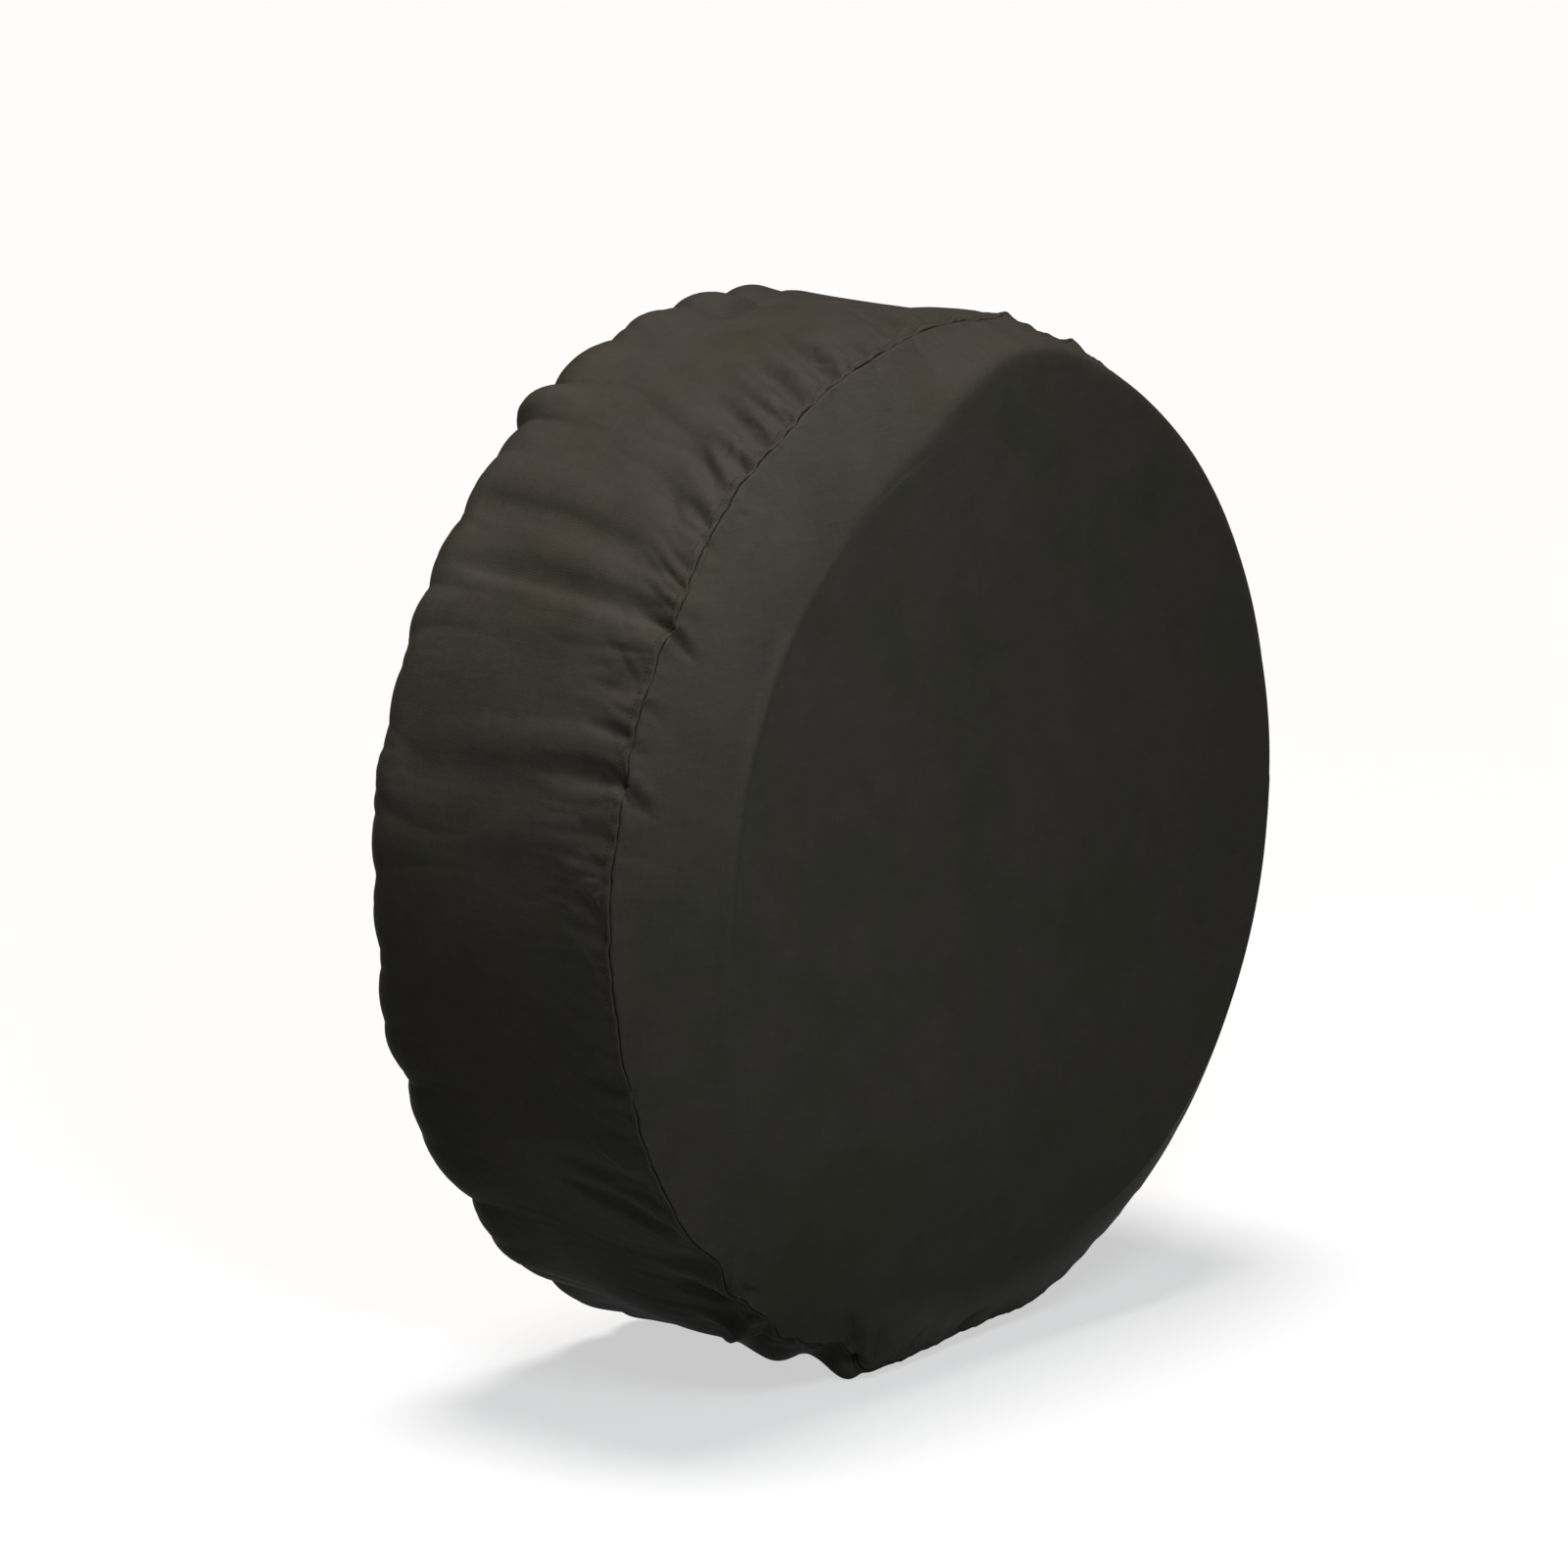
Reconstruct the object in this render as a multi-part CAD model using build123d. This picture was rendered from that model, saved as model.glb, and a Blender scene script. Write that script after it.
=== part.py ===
"""Soft spare tyre cover for a 32 inch by 12 inch tyre, sewn from a round face panel and one side band.

The wheel's axis is Y: the flat face looks along -Y, the open rear looks along +Y, and +Z is up. The
origin is the middle of the tyre that the cover holds: on the axis, halfway between face and rear.

The cover is modelled in the shape it takes on a tyre. Every round piece is a cross-section in the XY
plane, where X is the radius and Y the place along the axis, turned about the Y axis.
"""

from build123d import *

import math
import os

# Driving dimensions, in millimetres.
COVER_DIAMETER = 32 * 25.4
COVER_DEPTH = 12 * 25.4
FABRIC = 1.0  # coated polyester cloth
TAPE = 0.8  # folded tape of the hem casing
THREAD = 0.6  # sewing thread
LAYER_GAP = 0.3  # between two layers of cloth that lie on each other
FLAT_RADIUS = 337.0  # flat part of the face, inside the sloping shoulder
SEAM_SETBACK = 52.4  # from the front plane back to the face seam
SEAM_ALLOWANCE = 15.0
TOPSTITCH_INSET = 6.5  # from the face seam back to the topstitch row
REAR_SHOULDER_RADIUS = 28.0
OPENING_RADIUS = 296.0  # rear opening, inside the elastic hem
CASING_WIDTH = 30.0
CASING_CHANNEL = 2.0  # room between the two legs of the casing
ELASTIC_WIDTH = 18.0
ELASTIC_THICKNESS = 1.2
HEM_EDGE_CLEARANCE = 2.0  # between the casing fold, the elastic and the band's raw edge
HEM_ROW_INSETS = (2.5, 7.0)  # two hem stitch rows, from the casing's outer edge
LAP_LENGTH = 20.0  # how far the band's two ends lap where they are joined
BUTT_GAP = 0.4  # between the elastic's two ends
THREAD_GAP = 0.1  # between a thread and the cloth it lies on
JOIN_ROW_INSETS = (3.0, 10.0)  # two stitch rows along the lap, from its edge
BAR_TACK_LENGTH, BAR_TACK_WIDTH = 12.0, 2.0
OVERLOCK_THREAD = 0.3
OVERLOCK_BITE = 5.0
ZIGZAG_BARS = 5
ZIGZAG_BAR_LENGTH, ZIGZAG_BAR_WIDTH = 9.0, 0.8

# Radii of the layers at the face seam, from the outside in. The topstitch thread is the widest point.
BAND_OUTER = COVER_DIAMETER / 2 - THREAD
BAND_INNER = BAND_OUTER - FABRIC
FOLD_GAP = THREAD + 2 * THREAD_GAP  # inside the band's folded front edge
BAND_LIP_OUTER = BAND_INNER - FOLD_GAP
BAND_LIP_INNER = BAND_LIP_OUTER - FABRIC
FACE_LIP_OUTER = BAND_LIP_INNER - LAYER_GAP
FACE_LIP_INNER = FACE_LIP_OUTER - FABRIC

# Places along the axis.
FRONT = -COVER_DEPTH / 2
REAR = COVER_DEPTH / 2
SEAM = FRONT + SEAM_SETBACK
LIP_END = SEAM + SEAM_ALLOWANCE
TOPSTITCH = SEAM + TOPSTITCH_INSET
CASING_REAR = REAR - THREAD
CHANNEL_REAR = CASING_REAR - TAPE
CHANNEL_FRONT = CHANNEL_REAR - CASING_CHANNEL
CASING_FRONT = CHANNEL_FRONT - TAPE
CHANNEL_MIDDLE = (CHANNEL_REAR + CHANNEL_FRONT) / 2
SKIRT_REAR = CHANNEL_MIDDLE + FABRIC / 2
SKIRT_FRONT = CHANNEL_MIDDLE - FABRIC / 2

# Radii at the hem.
CASING_OUTER = OPENING_RADIUS + CASING_WIDTH
ELASTIC_INNER = OPENING_RADIUS + HEM_EDGE_CLEARANCE
ELASTIC_OUTER = ELASTIC_INNER + ELASTIC_WIDTH
SKIRT_EDGE = ELASTIC_OUTER + HEM_EDGE_CLEARANCE

# The band's ends are joined at the bottom. A profile in the XY plane has to turn this far to get there.
BOTTOM = 90.0
FULL_TURN = 360.0


def turned(profile, start=0.0, arc=FULL_TURN):
    """A profile in the XY plane turned about the Y axis, from one angle through another."""
    solid = revolve(profile, axis=Axis.Y, revolution_arc=arc)
    return Rot(0, start, 0) * solid


def box_ring(inner, outer, front, rear):
    """The cross-section of a plain ring, as a rectangle of radii and places along the axis."""
    points = [(inner, front), (outer, front), (outer, rear), (inner, rear)]
    return make_face(Polyline(*points, close=True))


def thread_ring(radius, place):
    """One row of thread that runs right round the cover."""
    return Pos(0, place, 0) * Rot(90, 0, 0) * Torus(radius, THREAD / 2)


def face_panel():
    """Flat disc, sloping shoulder and the seam allowance that turns in under the band."""
    nose = (BAND_LIP_OUTER - LAYER_GAP, SEAM - 1.2)
    lip_start = (FACE_LIP_OUTER, SEAM)
    slope = math.atan2(nose[1] - FRONT, nose[0] - FLAT_RADIUS)
    inner_flat = FLAT_RADIUS - FABRIC * math.tan(slope / 2)
    inner_front = FRONT + FABRIC
    inner_end = (FACE_LIP_INNER, inner_front + (FACE_LIP_INNER - inner_flat) * math.tan(slope))
    profile = make_face(
        Polyline(
            (0, FRONT),
            (FLAT_RADIUS, FRONT),
            nose,
            lip_start,
            (FACE_LIP_OUTER, LIP_END),
            (FACE_LIP_INNER, LIP_END),
            inner_end,
            (inner_flat, inner_front),
            (0, inner_front),
            close=True,
        )
    )
    return turned(profile)


def band_wall(outset, thickness):
    """Tread, rear shoulder and rear skirt of the band, with its outside outset from the cloth's own."""
    outside = BAND_OUTER + outset
    rear = SKIRT_REAR + outset
    bend = REAR_SHOULDER_RADIUS + outset
    inside = outside - thickness
    bend_start = rear - bend
    front = SEAM + (BAND_OUTER - BAND_LIP_INNER) / 2
    outer_bend = TangentArc((outside, bend_start), (outside - bend, rear), tangent=(0, 1))
    inner_bend = TangentArc((inside, bend_start), (outside - bend, rear - thickness), tangent=(0, 1))
    return make_face(
        [
            Line((outside, front), (outside, bend_start)),
            outer_bend,
            Polyline((outside - bend, rear), (SKIRT_EDGE, rear), (SKIRT_EDGE, rear - thickness)),
            Line((SKIRT_EDGE, rear - thickness), (outside - bend, rear - thickness)),
            inner_bend,
            Polyline((inside, bend_start), (inside, front), (outside, front)),
        ]
    )


def band_fold():
    """The band's front edge, folded back under itself as the seam allowance."""
    fold_outer = (BAND_OUTER - BAND_LIP_INNER) / 2
    fold_middle = (BAND_OUTER + BAND_LIP_INNER) / 2
    front = SEAM + fold_outer
    outer_nose = ThreePointArc((BAND_OUTER, front), (fold_middle, SEAM), (BAND_LIP_INNER, front))
    inner_nose = ThreePointArc((BAND_INNER, front), (fold_middle, SEAM + FABRIC), (BAND_LIP_OUTER, front))
    return make_face(
        [
            outer_nose,
            Polyline(
                (BAND_LIP_INNER, front),
                (BAND_LIP_INNER, LIP_END),
                (BAND_LIP_OUTER, LIP_END),
                (BAND_LIP_OUTER, front),
            ),
            inner_nose,
            Line((BAND_INNER, front), (BAND_OUTER, front)),
        ]
    )


def angle_of(length):
    """The angle in degrees that a length takes up round the band."""
    return math.degrees(length / BAND_OUTER)


def under_end():
    """The band's under end, which lies against the inside of the upper end along the lap."""
    wall = band_wall(-FABRIC, FABRIC)
    behind_seam = box_ring(0, COVER_DIAMETER, LIP_END + OVERLOCK_BITE, REAR)
    outside_hem = box_ring(CASING_OUTER + HEM_EDGE_CLEARANCE, COVER_DIAMETER, FRONT, REAR)
    return turned(wall & behind_seam & outside_hem, BOTTOM, angle_of(LAP_LENGTH))


def side_band():
    """One strip round the tread, its front edge folded under and its two ends lapped at the bottom."""
    return turned(band_wall(0, FABRIC)) + turned(band_fold()) + under_end()


def hem_casing():
    """Tape folded in half over the elastic, with the band's raw edge sewn between its legs."""
    points = [
        (OPENING_RADIUS, CASING_FRONT),
        (CASING_OUTER, CASING_FRONT),
        (CASING_OUTER, CHANNEL_FRONT),
        (OPENING_RADIUS + TAPE, CHANNEL_FRONT),
        (OPENING_RADIUS + TAPE, CHANNEL_REAR),
        (CASING_OUTER, CHANNEL_REAR),
        (CASING_OUTER, CASING_REAR),
        (OPENING_RADIUS, CASING_REAR),
    ]
    return turned(make_face(Polyline(*points, close=True)))


def hem_elastic():
    """Flat woven elastic in the casing, its two ends butted at the bottom."""
    half = ELASTIC_THICKNESS / 2
    strip = box_ring(ELASTIC_INNER, ELASTIC_OUTER, CHANNEL_MIDDLE - half, CHANNEL_MIDDLE + half)
    gap = angle_of(BUTT_GAP)
    return turned(strip, BOTTOM + gap, FULL_TURN - gap)


def elastic_join_thread():
    """Zigzag bars across the elastic's butted ends, on its rear side."""
    place = CHANNEL_MIDDLE + ELASTIC_THICKNESS / 2 + OVERLOCK_THREAD / 2
    pitch = ELASTIC_WIDTH / ZIGZAG_BARS
    bar = Box(ZIGZAG_BAR_LENGTH, OVERLOCK_THREAD, ZIGZAG_BAR_WIDTH)
    first = ELASTIC_INNER + pitch / 2
    return Compound([Pos(0, place, -(first + i * pitch)) * bar for i in range(ZIGZAG_BARS)])


def overlock():
    """Overlock thread that wraps the raw edges of both seam allowances."""
    outer = BAND_LIP_OUTER + THREAD_GAP + OVERLOCK_THREAD
    inner = FACE_LIP_INNER - THREAD_GAP - OVERLOCK_THREAD
    end = LIP_END + THREAD_GAP
    wrap = box_ring(inner, outer, LIP_END - OVERLOCK_BITE, end + OVERLOCK_THREAD)
    room = box_ring(inner + OVERLOCK_THREAD, outer - OVERLOCK_THREAD, SEAM, end)
    return turned(wrap - room)


def join_row(outside, angle, front, inner_radius):
    """One row of thread along the lap: back along the tread, round the shoulder and in over the skirt."""
    bend = REAR_SHOULDER_RADIUS + outside - BAND_OUTER
    rear = SKIRT_REAR + outside - BAND_OUTER
    bend_start = rear - bend
    path = Wire(
        [
            Line((outside, front), (outside, bend_start)),
            TangentArc((outside, bend_start), (outside - bend, rear), tangent=(0, 1)),
            Line((outside - bend, rear), (inner_radius, rear)),
        ]
    )
    section = Plane((outside, front, 0), z_dir=(0, 1, 0)) * Circle(THREAD / 2)
    return Rot(0, BOTTOM + angle, 0) * sweep(section, path=path)


def join_threads(outside):
    """Both stitch rows along the lap, clear of the seam allowances and of the bar tack at the hem."""
    front = LIP_END + OVERLOCK_BITE + THREAD
    inner_radius = CASING_OUTER + 2 * BAR_TACK_WIDTH
    return Compound([join_row(outside, angle_of(inset), front, inner_radius) for inset in JOIN_ROW_INSETS])


def bar_tacks():
    """Dense bars across both ends of the lap, on its outside."""
    bar = Box(BAR_TACK_LENGTH, BAR_TACK_WIDTH, THREAD - THREAD_GAP)
    front_tack = Pos(0, LIP_END + BAR_TACK_WIDTH, -(BAND_OUTER + THREAD / 2)) * bar
    flat = Box(BAR_TACK_LENGTH, THREAD - THREAD_GAP, BAR_TACK_WIDTH)
    rear_tack = Pos(0, SKIRT_REAR + THREAD / 2, -(CASING_OUTER + BAR_TACK_WIDTH)) * flat
    return Compound([front_tack, rear_tack])


def parts():
    """Every piece of the cover by name."""
    half_thread = THREAD / 2
    lap_inside = BAND_INNER - FABRIC - THREAD_GAP - half_thread
    made = {
        "face_panel": face_panel(),
        "side_band": side_band(),
        "hem_casing": hem_casing(),
        "hem_elastic": hem_elastic(),
        "elastic_join_thread": elastic_join_thread(),
        "face_seam_needle_thread": thread_ring(BAND_INNER - FOLD_GAP / 2, SEAM + 3 * FABRIC),
        "face_seam_bobbin_thread": thread_ring(FACE_LIP_INNER - half_thread, SEAM + 3 * FABRIC),
        "face_seam_overlock": overlock(),
        "topstitch_needle_thread": thread_ring(BAND_OUTER + half_thread, TOPSTITCH),
        "topstitch_bobbin_thread": thread_ring(FACE_LIP_INNER - half_thread, TOPSTITCH),
        "band_join_needle_threads": join_threads(BAND_OUTER + half_thread),
        "band_join_bobbin_threads": join_threads(lap_inside),
        "bar_tacks": bar_tacks(),
    }
    for row, inset in zip(("outer", "inner"), HEM_ROW_INSETS):
        radius = CASING_OUTER - inset
        made[f"hem_{row}_row_needle_thread"] = thread_ring(radius, CASING_REAR + half_thread)
        made[f"hem_{row}_row_bobbin_thread"] = thread_ring(radius, CASING_FRONT - half_thread)
    return made


os.makedirs("parts", exist_ok=True)
for name, shape in parts().items():
    export_step(shape, f"parts/{name}.step")
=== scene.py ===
import math

import bpy
import numpy as np
from mathutils import Matrix, Vector


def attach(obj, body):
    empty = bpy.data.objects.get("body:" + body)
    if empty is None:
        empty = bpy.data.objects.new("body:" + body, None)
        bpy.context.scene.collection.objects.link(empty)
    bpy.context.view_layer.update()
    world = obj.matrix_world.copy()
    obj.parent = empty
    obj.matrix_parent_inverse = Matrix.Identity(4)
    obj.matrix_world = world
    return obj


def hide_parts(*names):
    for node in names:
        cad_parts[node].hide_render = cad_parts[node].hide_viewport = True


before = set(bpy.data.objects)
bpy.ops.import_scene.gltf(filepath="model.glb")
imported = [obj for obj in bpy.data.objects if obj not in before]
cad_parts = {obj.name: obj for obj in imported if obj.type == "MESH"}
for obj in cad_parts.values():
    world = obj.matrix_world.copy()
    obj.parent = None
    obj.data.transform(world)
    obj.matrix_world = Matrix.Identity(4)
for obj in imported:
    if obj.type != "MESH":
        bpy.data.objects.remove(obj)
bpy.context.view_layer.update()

MM = 0.001
TAU = 2 * math.pi

# The cover's own sizes, in millimetres, as the CAD model has them.
RADIUS = 405.8  # outside of the band's cloth
FRONT = -152.4
SEAM_Y = -100.0
REAR_Y = 150.5  # outside of the rear skirt's cloth
DISC_RADIUS = 337.0  # flat part of the face
REAR_BEND = 28.0
SKIRT_EDGE = 318.0  # raw edge of the band, inside the hem casing
CASING_OUTER, CASING_INNER = 326.0, 296.0
CLOTH = 0.9
TOPSTITCH_RUN = 6.5  # from the seam back to the topstitch
# The cloth's grid, and two sizes that only the visual model has.
COLUMNS, SHOULDER_ROWS = 1280, 36
EASE_START = 190.0  # where the face starts to fall back, on the sides where the tyre's edge hardly shows
SHOULDER_SWELL = 2.6  # how far the sloping shoulder bellies out


# ---- profile
def smoothstep(x, low, high):
    t = np.clip((x - low) / (high - low), 0.0, 1.0)
    return t * t * (3 - 2 * t)


def spaced(start, end, step):
    count = max(2, int(round(abs(end - start) / step)) + 1)
    return np.linspace(start, end, count)


def face_profile():
    """Radii and places of the face from its centre to the seam, crown first."""
    nose = np.array([RADIUS - 1.3, SEAM_Y - 1.1])
    crease = np.array([DISC_RADIUS, FRONT])
    middle = spaced(3.0, DISC_RADIUS - 24, 15.0)
    disc = np.concatenate([middle, spaced(DISC_RADIUS - 21, DISC_RADIUS - 1.5, 1.5)])
    flat = np.stack([disc, np.full_like(disc, FRONT)], 1)
    t = spaced(0.0, 1.0, 1 / SHOULDER_ROWS)[:, None]
    slope = crease + (nose - crease) * t
    slope += SHOULDER_SWELL * np.sin(math.pi * t) * np.array([0.61, -0.79])
    return np.concatenate([flat, slope])


def band_profile():
    """Radii and places of the band from the seam to the inner fold of the hem casing."""
    bend_y = REAR_Y - REAR_BEND
    near, middle = spaced(SEAM_Y, SEAM_Y + 60, 2.1), spaced(SEAM_Y + 64, bend_y - 40, 4.6)
    tread = np.concatenate([near, middle, spaced(bend_y - 36, bend_y, 4.0)])
    wall = np.stack([np.full_like(tread, RADIUS), tread], 1)
    a = spaced(0, math.pi / 2, math.pi / 2 / 14)[1:]
    bend = np.stack([RADIUS - REAR_BEND + REAR_BEND * np.cos(a), bend_y + REAR_BEND * np.sin(a)], 1)
    skirt = spaced(RADIUS - REAR_BEND - 3.5, CASING_INNER, 3.2)
    flat = np.stack([skirt, np.full_like(skirt, REAR_Y)], 1)
    return np.concatenate([wall, bend, flat])


def run_length(profile):
    return np.concatenate([[0.0], np.cumsum(np.hypot(*np.diff(profile, axis=0).T))])


def profile_normals(profile):
    d = np.gradient(profile, axis=0)
    d /= np.hypot(*d.T)[:, None]
    return np.stack([d[:, 1], -d[:, 0]], 1)


face_rows = face_profile()
band_rows = band_profile()
face_s = run_length(face_rows) - run_length(face_rows)[-1]
band_s = run_length(band_rows)
rows = np.concatenate([face_rows, band_rows])
S = np.concatenate([face_s, band_s])
N_FACE = len(face_rows)
normals = np.concatenate([profile_normals(face_rows), profile_normals(band_rows)])
PHI = np.arange(COLUMNS) / COLUMNS * TAU
ARC = PHI * RADIUS  # place round the cover, from the top towards the left
LOOP = TAU * RADIUS
X, RUN = ARC[None, :], S[:, None]  # the two places on the sheet, ready to combine into a grid
ROW_R, ROW_Y = rows[:, :1], rows[:, 1:]


def run_at(radius):
    """The run at which the rear skirt has come in to a radius."""
    return np.interp(-radius, -band_rows[:, 0], band_s)


S_SKIRT = band_s[np.argmax(band_rows[:, 0] < RADIUS - REAR_BEND - 1)]
S_CASING, S_RAW, S_END = run_at(CASING_OUTER), run_at(SKIRT_EDGE), band_s[-1]


# ---- fold tools
def wave_noise(x, period, wavelength, seed, terms=5):
    """Smooth noise round a loop, about -1 to 1, with features near one wavelength."""
    g = np.random.default_rng(seed)
    base = period / wavelength
    total = np.zeros_like(x)
    for _ in range(terms):
        k = max(1, round(base * g.uniform(0.55, 1.6)))
        total = total + g.uniform(0.5, 1.0) * np.sin(TAU * k * x / period + g.uniform(0, TAU))
    return total / math.sqrt(terms)


def sheet_noise(x, s, wavelength_x, wavelength_s, seed, terms=9):
    """Smooth noise over the sheet, periodic round the loop."""
    g = np.random.default_rng(seed)
    total = np.zeros(np.broadcast(x, s).shape)
    for _ in range(terms):
        k = max(1, round(LOOP / wavelength_x * g.uniform(0.5, 1.5)))
        m = g.uniform(-1.3, 1.3) / wavelength_s
        total = total + np.sin(TAU * (k * x / LOOP + m * s) + g.uniform(0, TAU))
    return total / math.sqrt(terms)


def arch_nodes(spacing, jitter, seed):
    """Irregular places of the valleys between rounded ridges."""
    g = np.random.default_rng(seed)
    steps = spacing * g.uniform(1 - jitter, 1 + jitter, int(LOOP / spacing) + 1)
    nodes = np.cumsum(steps)
    return nodes * LOOP / nodes[-1]


def arches(x, nodes, heights, roundness=1.0):
    """Rounded ridges between sharp valleys: 0 in each valley, the cell's height on the ridge."""
    x = np.mod(x, LOOP)
    x = np.where(x >= nodes[-1], x - LOOP, x)
    edges = np.concatenate([[nodes[-1] - LOOP], nodes])
    cell = np.clip(np.searchsorted(edges, x, side="right") - 1, 0, len(nodes) - 1)
    low, high = edges[cell], edges[cell + 1]
    t = (x - low) / (high - low)
    return heights[cell] * (4 * t * (1 - t)) ** roundness


def arch_row(x, spacing, jitter, height, spread, seed):
    """Rounded ridges of uneven width and height, height times a number in the spread."""
    nodes = arch_nodes(spacing, jitter, seed)
    return arches(x, nodes, height * np.random.default_rng(seed + 40).uniform(*spread, len(nodes)))


def ridge(h, points, height, width, taper, lean=0.0):
    """Adds a long fold along a path of (degrees, run) points, or a valley if its height is under 0."""
    path = np.array([(math.radians(a) * RADIUS, s) for a, s in points])
    legs = np.hypot(*np.diff(path, axis=0).T)
    before = np.concatenate([[0.0], np.cumsum(legs)])
    total = before[-1]
    middle = path[:, 0].mean()
    x = X - middle
    x = x - LOOP * np.round(x / LOOP) + middle
    best = np.full((len(S), COLUMNS), 1e9)
    along, side = np.zeros_like(best), np.zeros_like(best)
    for k in range(len(legs)):
        a, b = path[k], path[k + 1]
        d = (b - a) / legs[k]
        t = np.clip((x - a[0]) * d[0] + (RUN - a[1]) * d[1], 0, legs[k])
        dx, ds = x - a[0] - t * d[0], RUN - a[1] - t * d[1]
        dist = np.hypot(dx, ds)
        near = dist < best
        best = np.where(near, dist, best)
        along = np.where(near, before[k] + t, along)
        side = np.where(near, np.sign(dx * d[1] - ds * d[0]), side)
    u = along / total
    strength = smoothstep(u, 0, taper[0]) * smoothstep(1 - u, 0, taper[1])
    w = width * (0.55 + 0.45 * strength) * (1 + lean * side)
    h += height * strength * np.exp(-((best / w) ** 2))


# ---- the cloth's shape
def round_the_loop(points, blur=3.0):
    """A smooth curve round the cover through (degrees from the top towards the left, value) points."""
    degrees = np.degrees(PHI)
    value = np.interp(degrees, *zip(*points), period=360)
    half = int(blur / 360 * COLUMNS)
    weights = np.hanning(2 * half + 3)[1:-1]
    padded = np.concatenate([value[-half:], value, value[:half]])
    return np.convolve(padded, weights / weights.sum(), "valid")[None, :]


def window(low, high, edge):
    """1 between two angles in degrees, 0 outside, with soft edges."""
    degrees = np.degrees(PHI)[None, :]
    middle, half = (low + high) / 2, (high - low) / 2
    away = np.abs(np.mod(degrees - middle + 180, 360) - 180)
    return 1 - smoothstep(away, half - edge, half + edge)


def spot(degrees, run, along, across, turn=0.0):
    """A soft round spot on the sheet, 1 in its middle; turned by an angle in degrees."""
    x = X - math.radians(degrees) * RADIUS
    x = x - LOOP * np.round(x / LOOP)
    y = RUN - run
    c, n = math.cos(math.radians(turn)), math.sin(math.radians(turn))
    return np.exp(-(((x * c + y * n) / along) ** 2) - ((-x * n + y * c) / across) ** 2)


# How the seam strays from its circle: back along the axis, and outward, in millimetres.
SEAM_BACK = [(0, 0), (8, 3), (12, 0), (16, -2), (23, 3), (27, 0), (31, -2), (40, 4), (49, 3), (56, 0)]
SEAM_BACK += [(62, 4), (69, 6), (76, 5), (90, 8.5), (100, 7), (109, 6), (114, 7), (120, 5), (127, 3)]
SEAM_BACK += [(132.6, -3), (137, 3.5), (144, 0), (148, 5), (153, 0), (162, 4), (170, 0), (190, 2)]
SEAM_BACK += [(230, -2), (262, -4), (290, 1), (312, 5), (335, 5), (350, 2)]
SEAM_OUT = [(0, 0), (20, 0), (42, 1), (60, 0), (110, 0), (122, 1), (127, 3), (132.6, -4), (137, 5.5)]
SEAM_OUT += [(144, 0), (150.6, 4), (158.4, -8), (163, 4), (168, 5), (172, -2), (179, -9), (187, -9)]
SEAM_OUT += [(193, -1), (205, -3), (225, -1), (250, 0), (275, -1), (296, -6), (310, -9), (330, -9)]
SEAM_OUT += [(336, -8), (342, -7), (346, -4), (350, -1), (352, 2), (355, -1)]
# Extra length of the band's strip beside the seam, in parts of a hundred, which buckles when it settles.
SLACK = [(0, 1.6), (50, 1.8), (80, 1.4), (95, 0.8), (130, 0.8), (150, 2), (168, 2), (185, 1.2), (270, 1.8)]
# How far a pucker leans along the loop for each millimetre behind the seam.
LEAN = [(0, 0.3), (12, 0.62), (45, 0.55), (60, 0.16), (80, 0.05), (120, 0.1), (150, 0.5), (200, 0)]
LEAN += [(300, -0.35)]


def seam_puckers():
    """Gathers where the band is eased on to the face: short and dense at the seam, merging behind it."""
    s = np.maximum(RUN, 0)
    total = 0.0
    lean = round_the_loop(LEAN, 14) * s
    length = 0.55 + 0.6 * window(4, 56, 12) + 0.25 * window(56, 92, 8)
    layers = [
        (12, 0.6, 1, 7, 13, 1),
        (20, 0.65, 1.7, 12, 26, 2),
        (37, 0.65, 2.5, 22, 50, 3),
        (74, 0.5, 2.4, 44, 80, 4),
    ]
    for spacing, jitter, height, peak, fade, seed in layers:
        shift = lean + 0.22 * spacing * sheet_noise(X, s, 5 * spacing, 3.5 * spacing, seed + 60)
        rise = (s / peak) * np.exp(1 - s / peak)
        fall = np.exp(-((np.maximum(s - peak, 0) / (fade * length)) ** 1.5))
        strength = np.where(s < peak, 0.3 + 0.7 * rise, 1) * fall
        row = arch_row(X + shift, spacing, jitter, height, (0.15, 1.35), seed)
        total += strength * (row - 0.55 * height)
    calm = 0.5 + 0.4 * window(2, 66, 12) + 0.2 * wave_noise(X, LOOP, 300, 72)
    return (RUN >= 0) * total * calm


def face_puckers():
    """The face's edge is eased much less, so its puckers are small and end within two centimetres."""
    d = np.maximum(-RUN, 0)
    total = 0.0
    layers = [(14, 0.5, 8, 11), (31, 0.85, 17, 12), (80, 1.1, 34, 13)]
    for spacing, height, fade, seed in layers:
        shift = 0.3 * spacing * sheet_noise(X, d, 4 * spacing, 3 * spacing, seed + 60)
        row = arch_row(X + shift, spacing, 0.5, height, (0, 1.3), seed)
        total += np.exp(-((d / fade) ** 1.4)) * (row - 0.5 * height)
    return (RUN < 0) * total


def crinkles():
    """Fine, crisp wrinkles in patches behind the seam, too small for the cloth simulation to keep."""
    s = np.maximum(RUN, 0)
    lean = round_the_loop(LEAN, 14) * s
    total = 0.0
    for spacing, height, reach, seed in ((9.5, 0.8, 32, 21), (17, 1.6, 64, 22)):
        shift = lean + 0.5 * spacing * sheet_noise(X, s, 6 * spacing, 3 * spacing, seed + 60)
        patches = smoothstep(sheet_noise(X, s, 130, 70, seed + 80), -0.5, 0.8)
        strength = patches * smoothstep(s, 1, 10) * np.exp(-((s / reach) ** 2))
        row = arch_row(X + shift, spacing, 0.6, height, (0, 1.5), seed)
        total += strength * (row - 0.5 * height)
    return (RUN >= 0) * total


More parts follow.
